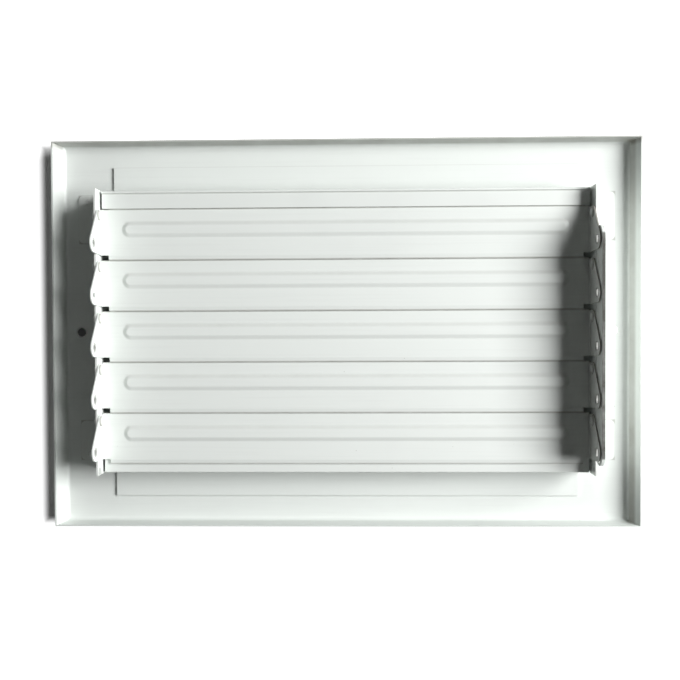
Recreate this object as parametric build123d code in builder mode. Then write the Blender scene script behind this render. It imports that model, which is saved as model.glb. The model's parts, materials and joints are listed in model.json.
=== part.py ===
"""Supply air register: a stamped steel face with a shutter damper on its duct side.

The register lies face down, as it hangs in a ceiling: +Z points up into the duct,
+X runs along the shutters and +Y points to the edge on which the shutters are hinged.
All sizes are in millimetres.
"""

from build123d import *
import os
from math import asin, cos, radians, sin, tan

# Face: a shallow pan, with the show side down and the rim turned up
face_width = 298.45
face_height = 196.85
face_sheet = 0.8
rim_depth = 8.8
rim_side_flare = 4.0
rim_end_flare = 1.2
rim_bend = 2.4
panel_side_margin = 30.225
panel_end_margin = 13.675
panel_step = 1.0
panel_shift = 1.1
screw_from_edge = 12.225
screw_hole_radius = 2.25

# Louvres: two columns of lanced flaps, half of the rows thrown each way
louvre_rows_each_way = 5
louvre_flap = 9.0
louvre_angle = 40.0
louvre_end_margin = 16.0
louvre_side_margin = 22.35
louvre_mullion = 12.0
louvre_middle_bar = 6.0
louvre_root = 0.2

# Damper frame: two end brackets joined by two rails
panel_to_wall = 3.1
panel_to_bracket_end = 13.75
bracket_sheet = 0.9
bracket_above_pivot = 2.8
bracket_bend = 0.6
foot_reach = 14.5
foot_length = 24.5
lower_foot_length = 20.3
foot_end_inset = 0.5
foot_corner = 2.5
weld_radius = 1.5
weld_depth = 0.2
weld_from_tip = 5.0
weld_from_end = 3.5
rail_end_inset = 0.5
rail_flange = 8.7
rail_sheet = 0.7
rail_bend = 0.6
rail_floor_gap = 1.2
rail_end_gap = 1.2
rail_hem = 1.1
rail_tab_width = 5.0
rail_tab_proud = 0.7
rail_tab_gap = 0.15

# Shutters, each in the frame of its own pivot
shutter_count = 5
last_line_inset = 4.8
shutter_sheet = 0.6
shutter_fold = 0.7
shutter_overlap = 3.8
shutter_lip = 2.1
shutter_lip_angle = 14.0
shutter_gap = 0.3
pivot_rise = 20.0
pivot_height = 4.8
pivot_below_line = 3.85
ear_top_radius = 3.1
lobe_radius = 4.6
link_above_free_edge = 7.05
link_rise = 8.2
relief_width = 4.1
top_relief_width = 4.3
bead_end_inset = 10.8
bead_width = 8.0
bead_height = 0.9
bead_draft = 65.0
bead_round = 1.5
bead_below_pivot = 6.35
opening_angle = 78.0

# Rivets, with a running fit where a shutter turns on them
pivot_radius = 1.5
pivot_head_radius = 2.5
pivot_end_radius = 2.0
link_radius = 1.3
link_head_radius = 2.2
rivet_head = 0.9
rivet_end = 1.3
rivet_fit = 0.05
head_gap = 0.1

# Link bar and operating lever
link_sheet = 1.4
link_width = 11.2
link_overhang = 6.6
link_tip_hole_radius = 0.9
link_tip_hole_inset = 2.2
lever_sheet = 1.2
lever_inset = 13.5
lever_root_width = 8.0
lever_root_from_edge = 2.0
lever_tip_width = 6.0
lever_foot = 12.0
lever_tab = 9.0
lever_proud = 5.0
lever_slot_gap = 0.8

# Heights above the lowest point, which is the tip of the lever
face_z = lever_proud
back_z = face_z + face_sheet
panel_front_z = face_z + panel_step
panel_back_z = back_z + panel_step
pivot_z = back_z + pivot_rise

# Places across the face and the damper, from the middle to one end
panel_width = face_width - 2 * panel_side_margin
panel_height = face_height - 2 * panel_end_margin
screw_spacing = face_width - 2 * screw_from_edge
louvre_length = (panel_width - louvre_mullion) / 2 - louvre_end_margin
louvre_span = panel_height / 2 - louvre_side_margin - louvre_middle_bar / 2
louvre_pitch = (louvre_span - louvre_flap) / (louvre_rows_each_way - 1)
wall_in = panel_width / 2 + panel_to_wall
wall_out = wall_in + bracket_sheet
ear_out = wall_in - shutter_gap
ear_in = ear_out - shutter_sheet
link_in = ear_out + shutter_gap
link_out = link_in + link_sheet
bracket_length = panel_height - 2 * panel_to_bracket_end
bracket_rise = pivot_rise + bracket_above_pivot
rail_half = bracket_length / 2 - rail_end_inset

# Shutter section, in the frame of its pivot: Y up the shutter, Z towards the duct
first_line_y = rail_half - rail_flange
last_line_y = last_line_inset - rail_half
shutter_pitch = (first_line_y - last_line_y) / shutter_count
shutter_top = shutter_overlap + pivot_below_line
shutter_free = pivot_below_line - shutter_pitch
lip_start = shutter_free + shutter_lip
lip_drop = shutter_lip * sin(radians(shutter_lip_angle))
lip_run = shutter_lip * cos(radians(shutter_lip_angle))
link_drop = -shutter_free - link_above_free_edge
ear_bottom = -link_drop - lobe_radius
blade_top = -pivot_height
blade_bottom = blade_top - shutter_sheet
shingle = asin((shutter_sheet + lip_drop + shutter_gap) / shutter_pitch)
bead_length = 2 * (ear_out - bead_end_inset)
bead_inset = shutter_sheet * tan(radians(90 - bead_draft) / 2)
lever_angle = radians(opening_angle / 2)
lever_number = (shutter_count + 1) // 2
numbers = range(1, shutter_count + 1)


def turned(y, z):
    """A point of a shutter's own frame, seen from its pivot in the closed register."""
    return (y * cos(shingle) + z * sin(shingle), z * cos(shingle) - y * sin(shingle))


def pivot_y(number):
    """Height up the face of a shutter's pivot, counted from the hinged edge."""
    return first_line_y - pivot_below_line - (number - 1) * shutter_pitch


link_y, link_z = turned(-link_drop, link_rise)
pivot_heights = [pivot_y(number) for number in numbers]
link_heights = [y + link_y for y in pivot_heights]
link_line_z = pivot_z + link_z
top_rail_z = (
    pivot_z + turned(pivot_below_line, blade_top)[1] + shutter_gap + rail_sheet
)
bottom_rail_z = (
    pivot_z + turned(shutter_free, blade_bottom - lip_drop)[1] - shutter_gap
)


def save(builder, name):
    """Label a piece and write it, moved from the panel's middle to the face's."""
    piece = Pos(0, panel_shift, 0) * builder.part
    piece.label = name
    export_step(piece, f"parts/{name}.step")


os.makedirs("parts", exist_ok=True)

# Face plate: rim, stepped panel, louvres, lever slot and screw holes in one sheet
lever_x = wall_in - lever_inset
lever_slot_y = pivot_y(lever_number)
slot_reach = (pivot_z - panel_front_z) * tan(lever_angle)
slot_length = 2 * (slot_reach + lever_root_width / 2 / cos(lever_angle) + lever_slot_gap)
slot_width = lever_sheet + 2 * lever_slot_gap
flap_run = louvre_flap * cos(radians(louvre_angle))
flap_rise = louvre_flap * sin(radians(louvre_angle))
louvre_starts = [
    louvre_middle_bar / 2 + row * louvre_pitch for row in range(louvre_rows_each_way)
]
louvre_columns = [
    -louvre_mullion / 2 - louvre_length,
    louvre_mullion / 2,
]

with BuildPart() as face_plate:
    with BuildSketch(Plane.XY.offset(face_z)):
        with Locations((0, -panel_shift)):
            Rectangle(face_width - 2 * rim_side_flare, face_height - 2 * rim_end_flare)
    with BuildSketch(Plane.XY.offset(face_z + rim_depth)):
        with Locations((0, -panel_shift)):
            Rectangle(face_width, face_height)
    loft(ruled=True)
    rim_tip = face_plate.faces().sort_by(Axis.Z)[-1]
    offset(amount=-face_sheet, openings=rim_tip, kind=Kind.INTERSECTION)
    fillet(face_plate.edges().group_by(Axis.Z)[0], rim_bend)
    inner_corner = face_plate.faces().filter_by(Axis.Z).sort_by(Axis.Z)[1].edges()
    fillet(inner_corner, rim_bend - face_sheet)
    with BuildSketch(Plane.XY.offset(back_z)):
        Rectangle(panel_width, panel_height)
    extrude(amount=panel_step)
    with BuildSketch(Plane.XY.offset(face_z)):
        Rectangle(panel_width - 2 * face_sheet, panel_height - 2 * face_sheet)
    extrude(amount=panel_step, mode=Mode.SUBTRACT)
    with BuildSketch(Plane.XY.offset(face_z)):
        for side in (1, -1):
            for start in louvre_starts:
                for column in louvre_columns:
                    with Locations((column, side * start)):
                        Rectangle(
                            louvre_length,
                            louvre_flap,
                            align=(Align.MIN, Align.MIN if side > 0 else Align.MAX),
                        )
        with Locations((lever_x, lever_slot_y)):
            SlotOverall(slot_length, slot_width, rotation=90)
        with GridLocations(screw_spacing, 0, 2, 1):
            Circle(screw_hole_radius)
    extrude(amount=panel_back_z - face_z, mode=Mode.SUBTRACT)
    for column in louvre_columns:
        with BuildSketch(Plane.YZ.offset(column)):
            for side in (1, -1):
                for start in louvre_starts:
                    hinge = side * (start + louvre_flap)
                    root = hinge + side * louvre_root
                    tip = hinge - side * flap_run
                    Polygon(
                        (root, panel_front_z),
                        (hinge, panel_front_z),
                        (tip, panel_front_z + flap_rise),
                        (tip, panel_back_z + flap_rise),
                        (hinge, panel_back_z),
                        (root, panel_back_z),
                        align=None,
                    )
        extrude(amount=louvre_length)
save(face_plate, "face_plate")

# End brackets: a wall with two feet welded to the face, pivot holes and rail slots
foot_start = bracket_length / 2 - foot_end_inset - foot_length
foot_tip = wall_out + foot_reach
weld_x = foot_tip - weld_from_tip
upper_weld_y = foot_start + foot_length - weld_from_end
lower_weld_y = weld_from_end - foot_start - lower_foot_length
leg_floor = panel_back_z + rail_floor_gap
notch_depth = rail_end_inset + rail_sheet + rail_tab_gap
rail_tabs = (
    (Align.MAX, bracket_length / 2, (leg_floor + top_rail_z) / 2),
    (Align.MIN, -bracket_length / 2, (leg_floor + bottom_rail_z) / 2),
)

with BuildPart() as right_bracket:
    with BuildSketch(Plane.YZ.offset(wall_in)):
        with Locations((0, back_z)):
            Rectangle(
                bracket_length, bracket_rise, align=(Align.CENTER, Align.MIN)
            )
    extrude(amount=bracket_sheet)
    with BuildSketch(Plane.XY.offset(back_z)) as feet:
        with Locations((wall_in, foot_start)):
            Rectangle(foot_tip - wall_in, foot_length, align=(Align.MIN, Align.MIN))
        with Locations((wall_in, -foot_start)):
            Rectangle(
                foot_tip - wall_in, lower_foot_length, align=(Align.MIN, Align.MAX)
            )
        fillet(feet.vertices().group_by(Axis.X)[-1], foot_corner)
    extrude(amount=bracket_sheet)
    along_wall = right_bracket.edges().filter_by(Axis.Y)
    inner_bend = along_wall.group_by(Axis.X)[0].group_by(Axis.Z)[0]
    fillet(inner_bend, bracket_bend)
    with BuildSketch(Plane.XY.offset(back_z + bracket_sheet)):
        with Locations((weld_x, upper_weld_y), (weld_x, lower_weld_y)):
            Circle(weld_radius)
    extrude(amount=-weld_depth, mode=Mode.SUBTRACT)
    with BuildSketch(Plane.YZ.offset(wall_in)):
        with Locations([(y, pivot_z) for y in pivot_heights]):
            Circle(pivot_radius + rivet_fit)
        for inward, end_y, tab_z in rail_tabs:
            with Locations((end_y, tab_z)):
                Rectangle(
                    notch_depth,
                    rail_tab_width + 2 * rail_tab_gap,
                    align=(inward, Align.CENTER),
                )
    extrude(amount=bracket_sheet, mode=Mode.SUBTRACT)
save(right_bracket, "right_bracket")

with BuildPart() as left_bracket:
    mirror(right_bracket.part, about=Plane.YZ)
save(left_bracket, "left_bracket")


def make_rail(side, flange_z, hem):
    """An angle rail: its flange faces the duct, and its leg has tabs in the brackets."""
    rail_end = wall_in - rail_end_gap
    tab_end = wall_out + rail_tab_proud
    with BuildPart() as rail:
        with BuildSketch(Plane.YZ.offset(-rail_end)):
            with Locations((side * (rail_half - rail_flange / 2), flange_z)):
                Rectangle(rail_flange, rail_sheet, align=(Align.CENTER, Align.MAX))
            with Locations((side * (rail_half - rail_sheet / 2), flange_z)):
                Rectangle(
                    rail_sheet, flange_z - leg_floor, align=(Align.CENTER, Align.MAX)
                )
            if hem:
                with Locations((side * (rail_half - hem / 2), flange_z)):
                    Rectangle(hem, rail_sheet, align=(Align.CENTER, Align.MIN))
        extrude(amount=2 * rail_end)
        long_edges = rail.edges().filter_by(Axis.X).group_by(Axis.Z)[-1]
        fillet(long_edges.sort_by(Axis.Y)[-1 if side > 0 else 0], rail_bend)
        with BuildSketch(Plane.YZ.offset(-tab_end)):
            with Locations((side * (rail_half - rail_sheet / 2), (leg_floor + flange_z) / 2)):
                Rectangle(rail_sheet, rail_tab_width)
        extrude(amount=2 * tab_end)
    return rail


save(make_rail(1, top_rail_z, rail_hem), "top_rail")
save(make_rail(-1, bottom_rail_z, 0), "bottom_rail")


def shutter_plane(number):
    """The frame of a shutter: its origin on the pivot line, its XY along the blade."""
    return Plane(
        origin=(0, pivot_y(number), pivot_z),
        x_dir=(1, 0, 0),
        z_dir=(0, sin(shingle), cos(shingle)),
    )


def make_shutter(number):
    """A blade with folded ears, pivot and link holes, a bead and a turned lip."""
    blade = shutter_plane(number)
    across = Plane(
        origin=blade.from_local_coords(Vector(0, shutter_top, 0)),
        x_dir=blade.x_dir,
        z_dir=-blade.y_dir,
    )
    side_on = Plane(origin=blade.origin, x_dir=blade.y_dir, z_dir=blade.x_dir)
    lip_half = ear_out - relief_width
    fold_height = 2 * (link_rise + lobe_radius - blade_bottom)
    with BuildPart() as shutter:
        # Sheet folded up at both ends
        with BuildSketch(across):
            with Locations((0, blade_bottom)):
                RectangleRounded(
                    2 * ear_out,
                    fold_height,
                    shutter_fold + shutter_sheet,
                    align=(Align.CENTER, Align.MIN),
                )
            with Locations((0, blade_top)):
                RectangleRounded(
                    2 * ear_in,
                    fold_height,
                    shutter_fold,
                    align=(Align.CENTER, Align.MIN),
                    mode=Mode.SUBTRACT,
                )
        extrude(amount=shutter_top - lip_start)
        # Outline of the ears and the blade, seen from the end
        with BuildSketch(side_on) as ear:
            with BuildLine():
                CenterArc((0, 0), ear_top_radius, 0, 360)
                CenterArc((-link_drop, link_rise), lobe_radius, 0, 360)
                Line((ear_bottom, blade_bottom), (ear_top_radius, blade_bottom))
            make_hull()
            with Locations((lip_start, blade_bottom)):
                Rectangle(
                    shutter_top - lip_start,
                    shutter_sheet,
                    align=(Align.MIN, Align.MIN),
                )
        extrude(amount=ear_out, both=True, mode=Mode.INTERSECT)
        with BuildSketch(side_on):
            Circle(pivot_radius + rivet_fit)
            with Locations((-link_drop, link_rise)):
                Circle(link_radius + rivet_fit)
        extrude(amount=ear_out, both=True, mode=Mode.SUBTRACT)
        # Lip along the free edge, bent towards the next shutter
        with BuildSketch(side_on.offset(-lip_half)):
            Polygon(
                (lip_start, blade_top),
                (lip_start, blade_bottom),
                (lip_start - lip_run, blade_bottom - lip_drop),
                (lip_start - lip_run, blade_top - lip_drop),
                align=None,
            )
        extrude(amount=2 * lip_half)
        # Reliefs that free the folds from the blade's corners
        with BuildSketch(blade):
            for end in (1, -1):
                outward = Align.MIN if end > 0 else Align.MAX
                with Locations((end * lip_half, ear_bottom)):
                    Rectangle(
                        relief_width,
                        ear_bottom - lip_start + shutter_lip,
                        align=(outward, Align.MAX),
                    )
                with Locations((end * (ear_out - top_relief_width), pivot_below_line)):
                    Rectangle(
                        top_relief_width,
                        shutter_top - pivot_below_line,
                        align=(outward, Align.MIN),
                    )
        extrude(amount=2 * blade_bottom, mode=Mode.SUBTRACT)
        # Stiffening bead, pressed out towards the duct
        with BuildSketch(blade.offset(blade_top)):
            with Locations((0, -bead_below_pivot)):
                SlotOverall(bead_length, bead_width)
        extrude(amount=bead_height, taper=bead_draft)
        bead_levels = shutter.edges(Select.LAST).group_by(Axis(blade.origin, blade.z_dir))
        fillet(bead_levels[0] + bead_levels[-1], bead_round)
        with BuildSketch(blade.offset(blade_bottom)):
            with Locations((0, -bead_below_pivot)):
                SlotOverall(bead_length - 2 * bead_inset, bead_width - 2 * bead_inset)
        extrude(amount=bead_height, taper=bead_draft, mode=Mode.SUBTRACT)
    return shutter


for number in numbers:
    save(make_shutter(number), f"shutter_{number}")


def make_rivets(heights, z, outer_x, shank, head, end):
    """Rivets along X, one at each height, headed inside the ears and upset at outer_x."""
    inner_x = ear_in - head_gap
    with BuildPart() as rivets:
        for x_start, length, radius in (
            (inner_x - rivet_head, rivet_head, head),
            (inner_x, outer_x - inner_x, shank),
            (outer_x, rivet_end, end),
        ):
            with BuildSketch(Plane.YZ.offset(x_start)):
                with Locations([(y, z) for y in heights]):
                    Circle(radius)
            extrude(amount=length)
    return rivets


# Pivot rivets: fast in the bracket, running in the ears
right_pivot_rivets = make_rivets(
    pivot_heights, pivot_z, wall_out, pivot_radius, pivot_head_radius, pivot_end_radius
)
save(right_pivot_rivets, "right_pivot_rivets")

with BuildPart() as left_pivot_rivets:
    mirror(right_pivot_rivets.part, about=Plane.YZ)
save(left_pivot_rivets, "left_pivot_rivets")

# Link bar and its rivets: fast in the bar, running in the ears
link_low = link_heights[-1] - link_overhang
link_high = link_heights[0] + link_overhang

with BuildPart() as link_bar:
    with BuildSketch(Plane.YZ.offset(link_in)):
        with Locations(((link_low + link_high) / 2, link_line_z)):
            SlotOverall(link_high - link_low, link_width)
        with Locations([(y, link_line_z) for y in link_heights]):
            Circle(link_radius + rivet_fit, mode=Mode.SUBTRACT)
        with Locations((link_low + link_tip_hole_inset, link_line_z)):
            Circle(link_tip_hole_radius, mode=Mode.SUBTRACT)
    extrude(amount=link_sheet)
save(link_bar, "link_bar")

link_rivets = make_rivets(
    link_heights, link_line_z, link_out, link_radius, link_head_radius, link_head_radius
)
save(link_rivets, "link_rivets")

# Operating lever: welded under the middle shutter, its tab reached from the room
lever_origin = (0, pivot_y(lever_number), pivot_z)
lever_plane = Plane(origin=lever_origin, x_dir=(0, 1, 0), z_dir=(1, 0, 0))
lever_drop = (pivot_z - lever_tip_width / 2 * sin(lever_angle)) / cos(lever_angle)
root_high = shutter_top - lever_root_from_edge
root_low = root_high - lever_root_width


def lever_point(along_arm, across_arm):
    """A point of the lever, seen from the pivot: along the arm and across it."""
    return (
        along_arm * sin(lever_angle) + across_arm * cos(lever_angle),
        across_arm * sin(lever_angle) - along_arm * cos(lever_angle),
    )


tip_half = lever_tip_width / 2
tab_root = lever_drop - lever_sheet

with BuildPart() as lever:
    with BuildSketch(lever_plane.offset(lever_x - lever_sheet / 2)):
        Polygon(
            turned(root_low, blade_bottom),
            turned(root_high, blade_bottom),
            lever_point(lever_drop, tip_half),
            lever_point(lever_drop, -tip_half),
            align=None,
        )
    extrude(amount=lever_sheet)
    with BuildSketch(lever_plane.offset(lever_x + lever_sheet / 2)):
        Polygon(
            turned(root_low, blade_bottom),
            turned(root_high, blade_bottom),
            turned(root_high, blade_bottom - lever_sheet),
            turned(root_low, blade_bottom - lever_sheet),
            align=None,
        )
    extrude(amount=-lever_foot)
    with BuildSketch(lever_plane.offset(lever_x + lever_sheet / 2)):
        Polygon(
            lever_point(tab_root, tip_half),
            lever_point(lever_drop, tip_half),
            lever_point(lever_drop, -tip_half),
            lever_point(tab_root, -tip_half),
            align=None,
        )
    extrude(amount=-lever_tab)
save(lever, "lever")
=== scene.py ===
import json
import math

import bpy
from bpy.props import FloatProperty, FloatVectorProperty, IntProperty, PointerProperty
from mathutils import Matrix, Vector


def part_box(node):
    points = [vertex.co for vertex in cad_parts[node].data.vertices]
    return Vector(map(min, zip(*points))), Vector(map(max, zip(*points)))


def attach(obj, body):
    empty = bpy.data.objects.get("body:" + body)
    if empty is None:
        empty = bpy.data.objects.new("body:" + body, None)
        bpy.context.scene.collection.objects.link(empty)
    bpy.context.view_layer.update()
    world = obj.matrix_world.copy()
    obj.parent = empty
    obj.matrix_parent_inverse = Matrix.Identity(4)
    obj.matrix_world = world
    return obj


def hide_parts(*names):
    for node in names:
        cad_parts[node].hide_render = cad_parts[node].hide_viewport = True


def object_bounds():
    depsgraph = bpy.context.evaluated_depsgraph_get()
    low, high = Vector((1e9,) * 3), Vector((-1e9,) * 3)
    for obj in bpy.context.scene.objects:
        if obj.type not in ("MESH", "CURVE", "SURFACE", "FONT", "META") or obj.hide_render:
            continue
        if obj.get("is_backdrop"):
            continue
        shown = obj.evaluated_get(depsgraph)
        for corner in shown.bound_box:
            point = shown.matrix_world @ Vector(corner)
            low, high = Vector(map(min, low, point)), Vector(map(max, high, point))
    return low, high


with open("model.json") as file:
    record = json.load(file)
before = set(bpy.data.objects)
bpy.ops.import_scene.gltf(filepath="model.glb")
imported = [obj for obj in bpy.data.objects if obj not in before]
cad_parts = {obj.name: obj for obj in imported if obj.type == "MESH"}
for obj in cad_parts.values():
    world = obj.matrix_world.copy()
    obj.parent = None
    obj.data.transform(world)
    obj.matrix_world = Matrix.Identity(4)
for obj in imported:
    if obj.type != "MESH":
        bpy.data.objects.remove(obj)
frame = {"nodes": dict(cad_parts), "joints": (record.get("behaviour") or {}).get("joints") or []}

bl_info = {
    "name": "Supply air register",
    "version": (1, 0, 0),
    "blender": (4, 5, 0),
    "location": "3D View > Sidebar > Register",
    "description": "Paints the packed air register, rivets its damper and sets up its studio",
    "category": "Object",
}

MM = 0.001
NODES = frame["nodes"]
HINGES = {joint["name"]: Vector(joint["pos_m"]) for joint in frame["joints"]}
SHUTTERS = [f"shutter_{number}" for number in range(1, 6)]
PIVOTS = [HINGES[f"{shutter}_hinge"] for shutter in SHUTTERS]
PITCH = PIVOTS[0].y - PIVOTS[1].y
LINK_OFFSET = HINGES["link_hinge"] - HINGES["shutter_3_hinge"]
CAD_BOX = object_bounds()
FACE_BACK = 5.8 * MM
PANEL_HALF_SIZE = (119.0 * MM, 84.75 * MM)
UPPER_FOOT_INSET = 0.5 * MM
UPPER_FOOT_LENGTH = 24.5 * MM
LOWER_FOOT_INSET = 4.7 * MM
LOWER_FOOT_LENGTH = 20.3 * MM
LAP_EDGE, BEAD_TOP, BEAD_FOOT = 3.65 * MM, -3.5 * MM, -9.6 * MM
WELD_FLOOR = 0.7 * MM
PAINT_IOR, ZINC_IOR = 1.38, 2.2
BLACK, WHITE = (0.0, 0.0, 0.0), (1.0, 1.0, 1.0)
# TABLE_DARK is painted shadow on the table under the register.
TABLE_WHITE, TABLE_DARK = (0.95, 0.95, 0.95), (0.02, 0.02, 0.02)


class PaintSettings(bpy.types.PropertyGroup):
    """The white coat on the sheet metal."""

    coat_colour: FloatVectorProperty(
        name="Coat", description="Colour of the white paint", subtype="COLOR", size=3,
        min=0.0, max=1.0, default=(0.80, 0.835, 0.805),
    )
    face_colour: FloatVectorProperty(
        name="Face coat", description="Colour of the paint on the face plate",
        subtype="COLOR", size=3, min=0.0, max=1.0, default=(0.765, 0.80, 0.772),
    )
    thin_colour: FloatVectorProperty(
        name="Thin coat", description="Colour where the coat is thin or rubbed",
        subtype="COLOR", size=3, min=0.0, max=1.0, default=(0.62, 0.64, 0.62),
    )
    # Colour of the dust specks, and also of the painted shade in corners, laps, creases and
    # outlines.
    dust_and_shade_colour: FloatVectorProperty(
        name="Dust", description="Colour of the specks and of the dust in corners",
        subtype="COLOR", size=3, min=0.0, max=1.0, default=(0.33, 0.32, 0.29),
    )
    oil_colour: FloatVectorProperty(
        name="Oil", description="Colour of the old oil on the edges of the link bar",
        subtype="COLOR", size=3, min=0.0, max=1.0, default=(0.07, 0.068, 0.062),
    )
    steel_colour: FloatVectorProperty(
        name="Bare steel", description="Colour of steel where the coat is worn through",
        subtype="COLOR", size=3, min=0.0, max=1.0, default=(0.50, 0.50, 0.48),
    )
    peel_size: FloatProperty(
        name="Peel", description="Width of one ripple of the sprayed coat",
        subtype="DISTANCE", unit="LENGTH", min=0.0003, max=0.01, default=0.0016,
    )
    peel_depth: FloatProperty(
        name="Peel depth", description="Height of the coat's ripples",
        subtype="DISTANCE", unit="LENGTH", min=0.0, max=0.0002, default=0.000018,
    )
    gloss: FloatProperty(
        name="Roughness", description="Roughness of a clean coat", subtype="FACTOR",
        min=0.0, max=1.0, default=0.42,
    )


class RivetSettings(bpy.types.PropertyGroup):
    """The rivets that the shutters and the link turn on."""

    zinc_colour: FloatVectorProperty(
        name="Zinc", description="Colour of the plated rivets", subtype="COLOR", size=3,
        min=0.0, max=1.0, default=(0.66, 0.66, 0.64),
    )
    steps: IntProperty(
        name="Steps", description="Steps around one rivet", min=12, max=64, default=28,
    )
    bore: FloatProperty(
        name="Bore", description="Radius of the hollow in a rivet's rolled end",
        subtype="DISTANCE", unit="LENGTH", min=0.0002, max=0.0012, default=0.0008,
    )


class WeldSettings(bpy.types.PropertyGroup):
    """The spot welds that hold the bracket feet."""

    radius: FloatProperty(
        name="Radius", description="Radius of one spot weld", subtype="DISTANCE",
        unit="LENGTH", min=0.0005, max=0.0015, default=0.00142,
    )
    from_tip: FloatProperty(
        name="From tip", description="Distance from the foot's tip to the weld",
        subtype="DISTANCE", unit="LENGTH", min=0.002, max=0.012, default=0.005,
    )
    from_upper_end: FloatProperty(
        name="From upper end", description="Distance from the bracket's upper end to the weld",
        subtype="DISTANCE", unit="LENGTH", min=0.002, max=0.012, default=0.004,
    )
    from_lower_end: FloatProperty(
        name="From lower end", description="Distance from the bracket's lower end to the weld",
        subtype="DISTANCE", unit="LENGTH", min=0.002, max=0.012, default=0.0082,
    )


class StudioSettings(bpy.types.PropertyGroup):
    """The camera, the lights and the white table."""

    camera_place: FloatVectorProperty(
        name="Camera", description="Place of the camera", subtype="TRANSLATION",
        unit="LENGTH", size=3, default=(0.00987, 0.00577, 0.45358),
    )
    camera_turn: FloatVectorProperty(
        name="Turn", description="Rotation of the camera", subtype="EULER",
        size=3, default=(-0.02068, 0.02804, -0.00461),
    )
    lens: FloatProperty(
        name="Lens", description="Focal length in millimetres on a 36 mm sensor",
        min=10.0, max=200.0, default=46.02,
    )
    window_power: FloatProperty(
        name="Window", description="Power of the window light", subtype="POWER",
        min=0.0, default=31.7,
    )
    window_distance: FloatProperty(
        name="Distance", description="Distance from the register to the window light",
        subtype="DISTANCE", unit="LENGTH", min=0.3, default=1.3,
    )
    window_height: FloatProperty(
        name="Elevation", description="Angle of the window light above the table",
        subtype="ANGLE", unit="ROTATION", default=math.radians(34.5),
    )
    window_side: FloatProperty(
        name="Azimuth", description="Angle of the window light from the right-hand side",
        subtype="ANGLE", unit="ROTATION", default=math.radians(9.0),
    )
    window_size: FloatVectorProperty(
        name="Size", description="Width and height of the window light",
        unit="LENGTH", size=2, default=(0.9, 0.65),
    )
    sky: FloatProperty(
        name="Sky", description="Strength of the even light from all around",
        min=0.0, default=0.008,
    )
    sky_colour: FloatVectorProperty(
        name="Sky colour", description="Colour of the even light", subtype="COLOR", size=3,
        min=0.0, max=1.0, default=(1.0, 0.985, 0.93),
    )
    below_power: FloatProperty(
        name="Below", description="Power of the light under the table, on the louvred face",
        subtype="POWER", min=0.0, default=2.6,
    )
    below_distance: FloatProperty(
        name="Below distance", description="Depth of the lower light under the table top",
        subtype="DISTANCE", unit="LENGTH", min=0.3, default=0.8,
    )


class Value:
    """A socket in a web of nodes. Arithmetic on it adds Math nodes."""

    def __init__(self, web, socket):
        self.web = web
        self.socket = socket

    def maths(self, operation, first, second=0.0):
        return self.web.node("Math", {"operation": operation}, {0: first, 1: second})

    def __add__(self, other):
        return self.maths("ADD", self, other)

    __radd__ = __add__

    def __sub__(self, other):
        return self.maths("SUBTRACT", self, other)

    def __rsub__(self, other):
        return self.maths("SUBTRACT", other, self)

    def __mul__(self, other):
        return self.maths("MULTIPLY", self, other)

    __rmul__ = __mul__

    def __truediv__(self, other):
        return self.maths("DIVIDE", self, other)

    def __abs__(self):
        return self.maths("ABSOLUTE", self)

    def __round__(self):
        return self.maths("ROUND", self)

    def least(self, other):
        return self.maths("MINIMUM", self, other)

    def most(self, other):
        return self.maths("MAXIMUM", self, other)

    def hypotenuse(self, other):
        """Length of a vector with this value and another as its sides."""
        return self.maths("SQRT", self * self + other * other)

    def step(self, low, high):
        """A smooth step that is 0 up to low and 1 from high on."""
        return self.web.node(
            "MapRange", {"interpolation_type": "SMOOTHSTEP"},
            {"Value": self, "From Min": low, "From Max": high},
        )


class Web:
    """The nodes of a material or of the world."""

    def __init__(self, tree):
        self.tree = tree

    def node(self, kind, settings, values, output=0):
        """Add a node, set it up, feed its sockets and hand back one output."""
        made = self.tree.nodes.new("ShaderNode" + kind)
        for key, setting in settings.items():
            setattr(made, key, setting)
        for key, value in values.items():
            if isinstance(value, Value):
                self.tree.links.new(value.socket, made.inputs[key])
            else:
                made.inputs[key].default_value = value
        return Value(self, made.outputs[output])

    def ray(self, kind):
        """1 for rays of a kind and 0 for the others."""
        return self.node("LightPath", {}, {}, f"Is {kind} Ray")

    def in_picture(self):
        """1 for rays that show the stage: straight, in a shine or through glass."""
        return self.ray("Camera").most(self.ray("Glossy")).most(self.ray("Transmission"))

    def show(self, shader, output):
        """Make a shader the surface of the output node."""
        self.tree.links.new(shader.socket, self.tree.nodes[output].inputs["Surface"])


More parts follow.
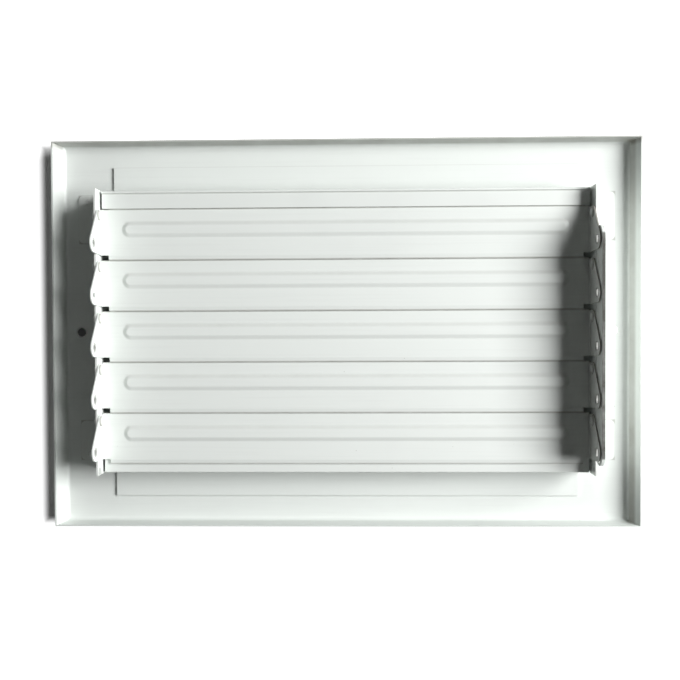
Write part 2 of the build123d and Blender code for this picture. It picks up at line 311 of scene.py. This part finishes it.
class Finish(Web):
    """A material of one piece, made of nodes on Object coordinates."""

    def __init__(self, name, **constants):
        self.material = bpy.data.materials.new(name)
        self.material.use_nodes = True
        super().__init__(self.material.node_tree)
        self.shader = self.tree.nodes["Principled BSDF"]
        for socket, constant in constants.items():
            self.shader.inputs[socket.replace("_", " ")].default_value = constant
        self.place = self.node("TexCoord", {}, {}, "Object")
        self.x = self.node("SeparateXYZ", {}, {0: self.place}, "X")
        self.y = self.node("SeparateXYZ", {}, {0: self.place}, "Y")
        self.z = self.node("SeparateXYZ", {}, {0: self.place}, "Z")

    def noise(self, size, detail=3.0, stretch=(1.0, 1.0, 1.0), roughness=0.5):
        """Noise whose features are about size metres wide, drawn out by stretch."""
        scaled = self.node(
            "Mapping", {}, {"Vector": self.place, "Scale": tuple(1 / s for s in stretch)}
        )
        return self.node(
            "TexNoise", {},
            {"Vector": scaled, "Scale": 1 / size, "Detail": detail, "Roughness": roughness},
            "Fac",
        )

    def specks(self, spacing, radius, share):
        """A mask of small round specks, in a share of the cells of a Voronoi pattern."""
        values = {"Vector": self.place, "Scale": 1 / spacing}
        distance = self.node("TexVoronoi", {}, values, "Distance")
        chance = self.node("SeparateColor", {}, {0: self.node("TexVoronoi", {}, values, "Color")})
        dot = 1 - distance.step(0.6 * radius / spacing, radius / spacing)
        return dot * chance.step(1 - share, 1 - share + 0.02)

    def mix(self, factor, first, second):
        """Blend two colours, each a socket or a tuple."""
        first, second = (
            colour if isinstance(colour, Value) else (*colour, 1.0) for colour in (first, second)
        )
        return self.node("Mix", {"data_type": "RGBA"}, {0: factor, 6: first, 7: second}, 2)

    def past_pivot(self, first=PIVOTS[0]):
        """How far up the row of shutters a point lies from the nearest pivot."""
        along = (self.y - first.y) / PITCH
        return (along - round(along)) * PITCH

    def pivot_distance(self, offset=Vector((0.0, 0.0, 0.0))):
        """Distance from the nearest pivot of the row, seen from the end of the damper."""
        first = PIVOTS[0] + offset
        return self.past_pivot(first).hypotenuse(self.z - first.z)

    def feed(self, socket, value):
        self.tree.links.new(value.socket, self.shader.inputs[socket])

    def bump(self, height, depth):
        """Raise the surface by height, which runs from 0 to 1, times depth metres."""
        normal = self.node(
            "Bump", {}, {"Strength": 1.0, "Distance": depth, "Height": height}, "Normal"
        )
        self.feed("Normal", normal)


def coat(name, paint, rubbed=None, painted_shade_and_stain=None, drawn=None, white=None, soiled=None):
    """White paint on steel, of the usual white or of another.

    rubbed is a mask where the coat is worn to the metal. The mask after it takes the coat towards
    the dust colour:
    mostly painted shade in laps, creases, corners and along edges and rims, and also real stains
    such as a weld's heat tint and oil on the link bar's edges. drawn is a pattern of the rolled
    sheet that shows through the coat.
    Each is a function of the finish. soiled is the colour of that mask's marks where it isn't the
    dust colour.
    """
    finish = Finish(name, IOR=PAINT_IOR, Coat_Roughness=0.2)
    cloud = finish.noise(55.0 * MM, 4.0)
    haze = finish.noise(12.0 * MM, 5.0, roughness=0.6)
    peel = finish.noise(paint.peel_size, 2.0)
    specks = finish.specks(6.0 * MM, 0.28 * MM, 0.10)
    thin = cloud.step(0.52, 0.85) * 0.16 + haze.step(0.6, 0.8) * 0.06
    if drawn:
        thin = thin + drawn(finish) * 0.1
    colour = finish.mix(thin, tuple(white or paint.coat_colour), tuple(paint.thin_colour))
    # Dust specks, then the mask of painted shade and stains, all in the dust colour.
    dust_shade_and_stain = specks * 0.5
    if painted_shade_and_stain:
        dust_shade_and_stain = dust_shade_and_stain + painted_shade_and_stain(finish) * (haze * 0.6 + 0.4)
    colour = finish.mix(dust_shade_and_stain, colour, tuple(soiled or paint.dust_and_shade_colour))
    roughness = haze * 0.16 + cloud * 0.08 + (paint.gloss - 0.12) + dust_shade_and_stain * 0.25
    if rubbed:
        bare = rubbed(finish) * haze.step(0.3, 0.55)
        colour = finish.mix(bare, colour, tuple(paint.steel_colour))
        finish.feed("Metallic", bare * 0.9)
        roughness = roughness - bare * 0.08
    finish.feed("Base Color", colour)
    finish.feed("Roughness", roughness)
    finish.feed("Coat Weight", 0.1 - dust_shade_and_stain * 0.08)
    finish.bump(peel * 0.8 + specks * 0.6 + haze * 0.3, paint.peel_depth)
    return finish.material


def dress(names, material):
    """Give CAD nodes a finish."""
    for name in names:
        slots = NODES[name].material_slots
        if not slots:
            NODES[name].data.materials.append(material)
        for slot in slots:
            slot.material = material


def outside_box(finish, middle_x, middle_y, half_width, half_height):
    """Distance out of a rectangle and its mirror image, below 0 inside them."""
    past_x = abs(abs(finish.x) - middle_x) - half_width
    past_y = abs(finish.y - middle_y) - half_height
    return past_x.most(past_y)


class REGISTER_OT_face(bpy.types.Operator):
    """Paint the louvred face plate"""

    bl_idname = "register.face"
    bl_label = "Paint face plate"

    def execute(self, context):
        paint = context.scene.register_paint
        low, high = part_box("right_bracket")
        middle_y = (low.y + high.y) / 2
        foot_x = (low.x + high.x) / 2
        foot_half = (high.x - low.x) / 2
        hole_x = high.x - 0.5 * MM
        rim = CAD_BOX[1]

        # Painted shade: a dark line along the step round the louvred panel.
        def panel_shade_line(finish):
            step = outside_box(finish, 0.0, middle_y, *PANEL_HALF_SIZE)
            return 1 - abs(step).step(0.0, 0.5 * MM)

        # Painted shade: dark outlines round the bracket feet on the back of the face.
        def foot_shade_lines(finish):
            upper_half, lower_half = UPPER_FOOT_LENGTH / 2, LOWER_FOOT_LENGTH / 2
            upper_y = high.y - UPPER_FOOT_INSET - upper_half
            lower_y = low.y + LOWER_FOOT_INSET + lower_half
            upper = outside_box(finish, foot_x, upper_y, foot_half, upper_half)
            lower = outside_box(finish, foot_x, lower_y, foot_half, lower_half)
            on_back = finish.z.step(FACE_BACK - 0.4 * MM, FACE_BACK - 0.1 * MM)
            return (1 - upper.least(lower).step(0.0, 0.6 * MM)) * on_back

        # Painted shade on the inner wall of the top rim, which faces away from the light.
        def top_wall_shade(finish):
            near = finish.y.step(rim.y - 4.5 * MM, rim.y - 2.0 * MM)
            return near * finish.z.step(6.0 * MM, 8.0 * MM)

        # Painted shade on the lower part of the right rim's inner wall, stronger towards the
        # lower end.
        def right_wall_shade(finish):
            near = finish.x.step(rim.x - 7.5 * MM, rim.x - 4.5 * MM)
            off_face = finish.z.step(FACE_BACK, FACE_BACK + 1.0 * MM)
            under_tip = 1 - finish.z.step(9.0 * MM, 11.5 * MM)
            lower_end = 1 - finish.y.step(-90.0 * MM, 0.0)
            return near * off_face * under_tip * (lower_end * 0.25 + 0.75)

        # Painted shade: a dark ring round the left screw hole.
        def hole_shade_ring(finish):
            away = (finish.x + hole_x).hypotenuse(finish.y - middle_y)
            return 1 - away.step(2.3 * MM, 3.2 * MM)

        # All of these marks are painted shade in the dust colour: step and foot lines, rim walls
        # and the hole's ring.
        def painted_shade_and_stain(finish):
            line_shade = panel_shade_line(finish) * 0.22 + foot_shade_lines(finish) * 0.75
            wall_shade = top_wall_shade(finish) * 0.75 + right_wall_shade(finish)
            return line_shade + wall_shade + hole_shade_ring(finish) * 0.6

        def drawn(finish):
            return finish.noise(1.6 * MM, 2.0, stretch=(30.0, 1.0, 1.0)).step(0.5, 0.75)

        material = coat("face_coat", paint, None, painted_shade_and_stain, drawn, paint.face_colour)
        dress(["face_plate"], material)
        return {"FINISHED"}


class REGISTER_OT_damper(bpy.types.Operator):
    """Paint the brackets and rails of the damper"""

    bl_idname = "register.damper"
    bl_label = "Paint damper frame"

    def execute(self, context):
        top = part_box("right_bracket")[1].z
        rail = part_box("top_rail")[1]

        def worn(finish):
            ring = 1 - finish.pivot_distance().step(2.1 * MM, 3.2 * MM)
            edge = finish.z.step(top - 0.25 * MM, top)
            return ring * 0.7 + edge * 0.35

        # Painted shade: darker towards the face plate at the foot of the walls, and a dark line
        # below the hem of each rail.
        def painted_shade_and_stain(finish):
            low = 1 - finish.z.step(6.5 * MM, 12 * MM)
            hem_shade = 1 - abs(finish.y - (rail.y - 1.4 * MM)).step(0.1 * MM, 0.5 * MM)
            on_rail = 1 - abs(finish.x).step(rail.x - 3.0 * MM, rail.x - 2.5 * MM)
            return low * 0.1 + hem_shade * on_rail * 0.45

        def drawn(finish):
            return finish.noise(1.2 * MM, 2.0, stretch=(20.0, 20.0, 1.0)).step(0.5, 0.75)

        material = coat("damper_coat", context.scene.register_paint, worn, painted_shade_and_stain, drawn)
        dress(["left_bracket", "right_bracket", "top_rail", "bottom_rail"], material)
        return {"FINISHED"}


class REGISTER_OT_shutters(bpy.types.Operator):
    """Paint the shutter blades"""

    bl_idname = "register.shutters"
    bl_label = "Paint shutters"

    def execute(self, context):
        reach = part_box("shutter_1")[1].x

        def on_ear(across):
            return across.step(reach - 2.0 * MM, reach - 1.0 * MM)

        def worn(finish):
            link = 1 - finish.pivot_distance(LINK_OFFSET).step(2.1 * MM, 3.0 * MM)
            return on_ear(abs(finish.x)) * link * 0.85

        # Painted shade along the edges of the right-hand ears, beside the link bar.
        def ear_edge_shade(finish):
            normal = finish.node("NewGeometry", {}, {}, "True Normal")
            across = abs(finish.node("SeparateXYZ", {}, {0: normal}, "X"))
            return (1 - across.step(0.3, 0.6)) * finish.x.step(reach - 0.9 * MM, reach - 0.7 * MM)

        def painted_shade_and_stain(finish):
            aside = finish.past_pivot()
            # Painted shade: a dark line where each shutter laps over the next.
            lap_shade = 1 - abs(aside - LAP_EDGE).step(0.15 * MM, 0.75 * MM)
            # Painted shade on the bead's flanks, stronger on the upper one.
            upper = 1 - abs(aside - BEAD_TOP).step(0.2 * MM, 1.6 * MM)
            lower = 1 - abs(aside - BEAD_FOOT).step(0.2 * MM, 1.4 * MM)
            on_bead = 1 - abs(finish.x).step(reach - 13.0 * MM, reach - 11.0 * MM)
            bead_shade = (upper * 0.27 + lower * 0.10) * on_bead
            # Painted shade: dark rings round the pivot rivets on the ears, and darker right-hand
            # ears.
            pivot = 1 - finish.pivot_distance().step(2.3 * MM, 3.0 * MM)
            ear_shade = on_ear(abs(finish.x)) * pivot * 1.4 + on_ear(finish.x) * 0.4
            return lap_shade * 0.8 + ear_shade + ear_edge_shade(finish) * 1.4 + bead_shade

        def drawn(finish):
            return finish.noise(1.1 * MM, 3.0, stretch=(60.0, 1.0, 1.0)).step(0.48, 0.75)

        material = coat("shutter_coat", context.scene.register_paint, worn, painted_shade_and_stain, drawn)
        dress(SHUTTERS, material)
        return {"FINISHED"}


class REGISTER_OT_link(bpy.types.Operator):
    """Paint the link bar"""

    bl_idname = "register.link"
    bl_label = "Paint link bar"

    def execute(self, context):
        paint = context.scene.register_paint
        low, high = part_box("link_bar")

        def worn(finish):
            return (1 - finish.pivot_distance(LINK_OFFSET).step(2.2 * MM, 3.4 * MM)) * 0.8

        def oiled(finish):
            middle, half = (low.z + high.z) / 2, (high.z - low.z) / 2
            return abs(finish.z - middle).step(half - 0.5 * MM, half - 0.1 * MM) * 1.4

        def drawn(finish):
            return finish.noise(0.9 * MM, 3.0, stretch=(1.0, 40.0, 1.0)).step(0.45, 0.7)

        material = coat("link_coat", paint, worn, oiled, drawn, soiled=paint.oil_colour)
        dress(["link_bar"], material)
        return {"FINISHED"}


class REGISTER_OT_lever(bpy.types.Operator):
    """Paint the operating lever, with its tab worn by hand"""

    bl_idname = "register.lever"
    bl_label = "Paint lever"

    def execute(self, context):
        def worn(finish):
            return (1 - finish.z.step(0.4 * MM, 3.0 * MM)) * 0.5

        dress(["lever"], coat("lever_coat", context.scene.register_paint, worn))
        return {"FINISHED"}


def zinc(name, rivets, offset):
    """Plated steel with turning marks around each rivet and dull rims."""
    finish = Finish(name, Metallic=1.0, IOR=ZINC_IOR)
    radius = finish.pivot_distance(offset)
    blotch = finish.noise(1.1 * MM, 4.0)
    rings = finish.node(
        "TexNoise", {"noise_dimensions": "1D"}, {"W": radius, "Scale": 9000.0, "Detail": 1.0}
    )
    rim = radius.step(1.5 * MM, 2.4 * MM)
    bright = tuple(rivets.zinc_colour)
    dull = tuple(0.55 * part for part in bright)
    finish.feed("Base Color", finish.mix(rim * 0.5 + blotch.step(0.5, 0.75) * 0.4, bright, dull))
    finish.feed("Roughness", rings * 0.16 + blotch * 0.14 + 0.16)
    finish.bump(rings * 0.5 + blotch, 0.02 * MM)
    return finish.material


def spin_rivet(name, head_x, end_x, head, shank, end, place, rivets):
    """Draw half a rivet's outline from its head to its rolled end and spin it round."""
    way = 1 if end_x > head_x else -1
    length = abs(end_x - head_x)
    bore = rivets.bore
    roll = length - 1.3 * MM
    outline = [
        (0.0, 0.0), (0.03 * MM, 0.34 * head), (0.14 * MM, 0.62 * head), (0.34 * MM, 0.84 * head),
        (0.6 * MM, 0.97 * head), (0.78 * MM, head), (0.88 * MM, 0.985 * head),
        (0.9 * MM, 0.95 * head), (0.9 * MM, shank), (roll, shank), (roll, 0.93 * end),
        (roll + 0.12 * MM, end), (roll + 0.55 * MM, 0.98 * end), (roll + 0.95 * MM, 0.84 * end),
        (roll + 1.22 * MM, 0.66 * end), (length, 0.53 * end), (length - 0.08 * MM, bore),
        (length - 0.4 * MM, 0.86 * bore), (length - 0.85 * MM, 0.78 * bore),
        (length - 0.95 * MM, 0.5 * bore), (length - 0.98 * MM, 0.0),
    ]
    bpy.ops.object.select_all(action="DESELECT")
    bpy.ops.mesh.primitive_circle_add(vertices=3, radius=0.001, location=(0, 0, 0))
    rivet = bpy.context.object
    rivet.name = name
    bpy.ops.object.mode_set(mode="EDIT")
    bpy.ops.mesh.select_all(action="SELECT")
    bpy.ops.mesh.merge(type="CENTER")
    bpy.ops.transform.translate(value=(head_x, place.y, place.z))
    for before, after in zip(outline, outline[1:]):
        stride = (way * (after[0] - before[0]), after[1] - before[1], 0.0)
        bpy.ops.mesh.extrude_region_move(TRANSFORM_OT_translate={"value": stride})
    bpy.ops.mesh.select_all(action="SELECT")
    bpy.ops.mesh.spin(
        steps=rivets.steps, angle=math.tau, center=(0.0, place.y, place.z), axis=(1.0, 0.0, 0.0)
    )
    bpy.ops.mesh.select_all(action="SELECT")
    bpy.ops.mesh.remove_doubles(threshold=1e-6)
    bpy.ops.mesh.normals_make_consistent(inside=False)
    bpy.ops.object.mode_set(mode="OBJECT")
    bpy.ops.object.shade_smooth_by_angle(angle=math.radians(40.0))
    return rivet


def join(pieces):
    """Join pieces into the first of them."""
    bpy.ops.object.select_all(action="DESELECT")
    for piece in pieces:
        piece.select_set(True)
    bpy.context.view_layer.objects.active = pieces[0]
    bpy.ops.object.join()


def repeat_down(piece):
    """Copy a piece to the other pivots of the row and join the copies into it."""
    copies = [piece]
    for number in range(1, len(PIVOTS)):
        bpy.ops.object.select_all(action="DESELECT")
        piece.select_set(True)
        bpy.context.view_layer.objects.active = piece
        bpy.ops.object.duplicate(linked=False)
        bpy.ops.transform.translate(value=(0.0, -PITCH * number, 0.0))
        bpy.ops.object.transform_apply(location=True, rotation=False, scale=False)
        copies.append(bpy.context.object)
    join(copies)


class REGISTER_OT_rivets(bpy.types.Operator):
    """Spin the domed rivets with their rolled ends in place of the plain ones"""

    bl_idname = "register.rivets"
    bl_label = "Add rivets"

    def execute(self, context):
        rivets = context.scene.register_rivets

        # Painted shade: a dark outline round the rim of each painted rivet head.
        def ring(finish):
            return finish.pivot_distance().step(1.5 * MM, 2.1 * MM) * 0.9

        painted = coat("rivet_coat", context.scene.register_paint, None, ring)
        plated = zinc("link_zinc", rivets, LINK_OFFSET)
        sets = (
            ("right_rivets", "right_pivot_rivets", False, 2.5, 1.5, 2.0, PIVOTS[0], painted),
            ("left_rivets", "left_pivot_rivets", True, 2.5, 1.5, 2.0, PIVOTS[0], painted),
            ("link_pins", "link_rivets", False, 2.2, 1.3, 2.2, PIVOTS[0] + LINK_OFFSET, plated),
        )
        for name, node, leftward, head, shank, end, place, material in sets:
            low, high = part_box(node)
            ends = (high.x, low.x) if leftward else (low.x, high.x)
            rivet = spin_rivet(name, *ends, head * MM, shank * MM, end * MM, place, rivets)
            rivet.data.materials.append(material)
            repeat_down(rivet)
            on_link = node == "link_rivets"
            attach(rivet, "link" if on_link else "register_frame")
            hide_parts(node)
            "rivet_steel" if on_link else "damper_paint"
        return {"FINISHED"}


def press_weld(x, y, floor, radius):
    """Press one spot weld: a low disc with a raised ring and a sunk middle."""
    bpy.ops.object.select_all(action="DESELECT")
    bpy.ops.mesh.primitive_circle_add(
        vertices=32, radius=radius, fill_type="NGON", location=(x, y, floor)
    )
    weld = bpy.context.object
    bpy.ops.object.mode_set(mode="EDIT")
    bpy.ops.mesh.select_mode(type="FACE")
    bpy.ops.mesh.select_all(action="SELECT")
    bpy.ops.mesh.extrude_region_move(TRANSFORM_OT_translate={"value": (0, 0, 0.06 * MM)})
    for inward, rise in ((0.18, 0.08), (0.22, 0.0), (0.24, -0.07), (0.3, 0.02)):
        bpy.ops.mesh.inset(thickness=inward * MM, depth=0.0)
        bpy.ops.transform.translate(value=(0.0, 0.0, rise * MM))
    bpy.ops.mesh.select_all(action="SELECT")
    bpy.ops.mesh.normals_make_consistent(inside=False)
    bpy.ops.object.mode_set(mode="OBJECT")
    bpy.ops.object.transform_apply(location=True, rotation=False, scale=False)
    bpy.ops.object.shade_smooth_by_angle(angle=math.radians(60.0))
    return weld


class REGISTER_OT_welds(bpy.types.Operator):
    """Press the spot welds into the bracket feet"""

    bl_idname = "register.welds"
    bl_label = "Add spot welds"

    def execute(self, context):
        welds = context.scene.register_welds
        paint = context.scene.register_paint
        low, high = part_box("right_bracket")
        weld_x = high.x - welds.from_tip
        heights = (high.y - welds.from_upper_end, low.y + welds.from_lower_end)
        floor = low.z + WELD_FLOOR

        def burnt(finish):
            return finish.noise(0.8 * MM, 3.0).step(0.45, 0.7) * 0.35

        material = coat("weld_coat", paint, None, burnt)
        marks = []
        for x in (weld_x, -weld_x):
            for y in heights:
                mark = press_weld(x, y, floor, welds.radius)
                mark.data.materials.append(material)
                marks.append(mark)
        join(marks)
        marks[0].name = "spot_welds"
        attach(marks[0], "register_frame")
        marks[0]
        return {"FINISHED"}


def table_top():
    """White table that keeps the shadow near the register and is white in pictures.

    It is painted dark under the register, a painted shadow there, so that the light from below
    stays out of the damper and the left screw hole looks dark.
    """
    finish = Finish("table_white", Roughness=0.7)
    low, high = CAD_BOX
    # The shadow reaches past the left edge of the register and ends under its right one, where
    # the table's white glow shows through the right screw hole as painted light.
    left, right = low.x - 9.0 * MM, high.x - 18.0 * MM
    past_x = abs(finish.x - (left + right) / 2) - (right - left) / 2
    past_y = abs(finish.y) - high.y
    # Painted shadow: the table's colour is dark under the register.
    shade_under_register = (past_x + 16.0 * MM).most(past_y + 8.0 * MM).step(0.0, 3.0 * MM)
    finish.feed("Base Color", finish.mix(shade_under_register, TABLE_DARK, TABLE_WHITE))
    away = past_x.step(-1.7 * MM, 3.4 * MM).most(past_y.step(-2.0 * MM, 3.0 * MM))
    glow = finish.node("Emission", {}, {"Color": finish.mix(away, BLACK, WHITE)})
    unlit = finish.node("Emission", {}, {"Strength": 0.0})
    shown = finish.node("MixShader", {}, {0: finish.in_picture(), 1: unlit, 2: glow})
    painted = Value(finish, finish.shader.outputs[0])
    top = finish.node("AddShader", {}, {0: painted, 1: shown})
    clear = finish.node("BsdfTransparent", {}, {})
    through = finish.node("NewGeometry", {}, {}, "Backfacing").most(finish.ray("Shadow"))
    both = finish.node("MixShader", {}, {0: through, 1: top, 2: clear})
    finish.show(both, "Material Output")
    return finish.material


def lay_table():
    """Lay the white table under the register."""
    bpy.ops.object.select_all(action="DESELECT")
    bpy.ops.mesh.primitive_plane_add(size=8.0, location=(0.0, 0.0, 0.0))
    table = bpy.context.object
    table.name = "table"
    table.data.materials.append(table_top())
    table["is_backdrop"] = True


def hang_window(studio):
    """Hang the large soft light low on the right."""
    level = math.cos(studio.window_height)
    direction = Vector((
        level * math.cos(studio.window_side),
        level * math.sin(studio.window_side),
        math.sin(studio.window_height),
    ))
    turn = direction.to_track_quat("Z", "Y").to_euler()
    place = direction * studio.window_distance
    bpy.ops.object.light_add(type="AREA", location=place, rotation=turn)
    window = bpy.context.object.data
    window.shape = "RECTANGLE"
    window.size, window.size_y = studio.window_size
    window.energy = studio.window_power


def light_front(studio):
    """Light the louvred front, which faces the table, for pictures from below."""
    place = (0.0, 0.0, -studio.below_distance)
    bpy.ops.object.light_add(type="AREA", location=place, rotation=(math.pi, 0.0, 0.0))
    lamp = bpy.context.object
    front = bpy.data.collections.new("front")
    for name in ("face_plate", "lever"):
        front.objects.link(NODES[name])
    lamp.light_linking.receiver_collection = front
    lamp.visible_camera = False
    lamp.data.size = studio.below_distance
    lamp.data.energy = studio.below_power


def make_sky(scene, studio):
    """Faint even light, with a white backdrop in pictures and reflections."""
    world = bpy.data.worlds.new("sky")
    world.use_nodes = True
    scene.world = world
    web = Web(world.node_tree)
    faint = world.node_tree.nodes["Background"]
    faint.inputs["Color"].default_value = (*studio.sky_colour, 1.0)
    faint.inputs["Strength"].default_value = studio.sky
    sky = Value(web, faint.outputs[0])
    backdrop = web.node("Background", {}, {"Color": (*WHITE, 1.0)})
    both = web.node("MixShader", {}, {0: web.in_picture(), 1: sky, 2: backdrop})
    web.show(both, "World Output")


def place_camera(scene, studio):
    """Put the camera above the register, at the photograph's viewing angle."""
    bpy.ops.object.camera_add(location=studio.camera_place, rotation=studio.camera_turn)
    camera = bpy.context.object
    camera.data.sensor_fit = "HORIZONTAL"
    camera.data.sensor_width = 36.0
    camera.data.lens = studio.lens
    camera.data.clip_start = 0.01
    scene.camera = camera
    scene.view_settings.view_transform = "Standard"


class REGISTER_OT_studio(bpy.types.Operator):
    """Set the white table, the lights, the sky and the camera"""

    bl_idname = "register.studio"
    bl_label = "Set up studio"

    def execute(self, context):
        studio = context.scene.register_studio
        lay_table()
        hang_window(studio)
        light_front(studio)
        make_sky(context.scene, studio)
        place_camera(context.scene, studio)
        return {"FINISHED"}


PIECES = (
    REGISTER_OT_face,
    REGISTER_OT_damper,
    REGISTER_OT_shutters,
    REGISTER_OT_link,
    REGISTER_OT_lever,
    REGISTER_OT_rivets,
    REGISTER_OT_welds,
    REGISTER_OT_studio,
)
SETTINGS = {
    "register_paint": PaintSettings,
    "register_rivets": RivetSettings,
    "register_welds": WeldSettings,
    "register_studio": StudioSettings,
}


class REGISTER_PT_panel(bpy.types.Panel):
    """Pieces of the air register and their settings"""

    bl_label = "Air register"
    bl_idname = "REGISTER_PT_panel"
    bl_space_type = "VIEW_3D"
    bl_region_type = "UI"
    bl_category = "Register"

    def draw(self, context):
        for name, group in SETTINGS.items():
            box = self.layout.box()
            settings = getattr(context.scene, name)
            for field in group.__annotations__:
                box.prop(settings, field)
        for piece in PIECES:
            self.layout.operator(piece.bl_idname)


def register():
    for name, group in SETTINGS.items():
        bpy.utils.register_class(group)
        setattr(bpy.types.Scene, name, PointerProperty(type=group))
    for piece in (*PIECES, REGISTER_PT_panel):
        bpy.utils.register_class(piece)


def unregister():
    for piece in (REGISTER_PT_panel, *reversed(PIECES)):
        bpy.utils.unregister_class(piece)
    for name, group in SETTINGS.items():
        delattr(bpy.types.Scene, name)
        bpy.utils.unregister_class(group)


def main():
    register()
    bpy.ops.register.face()
    bpy.ops.register.damper()
    bpy.ops.register.shutters()
    bpy.ops.register.link()
    bpy.ops.register.lever()
    bpy.ops.register.rivets()
    bpy.ops.register.welds()
    bpy.ops.register.studio()
    boxes = {"cad": CAD_BOX, "visual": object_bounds()}
    {name: [list(corner) for corner in box] for name, box in boxes.items()}


if __name__ == "__main__":
    main()
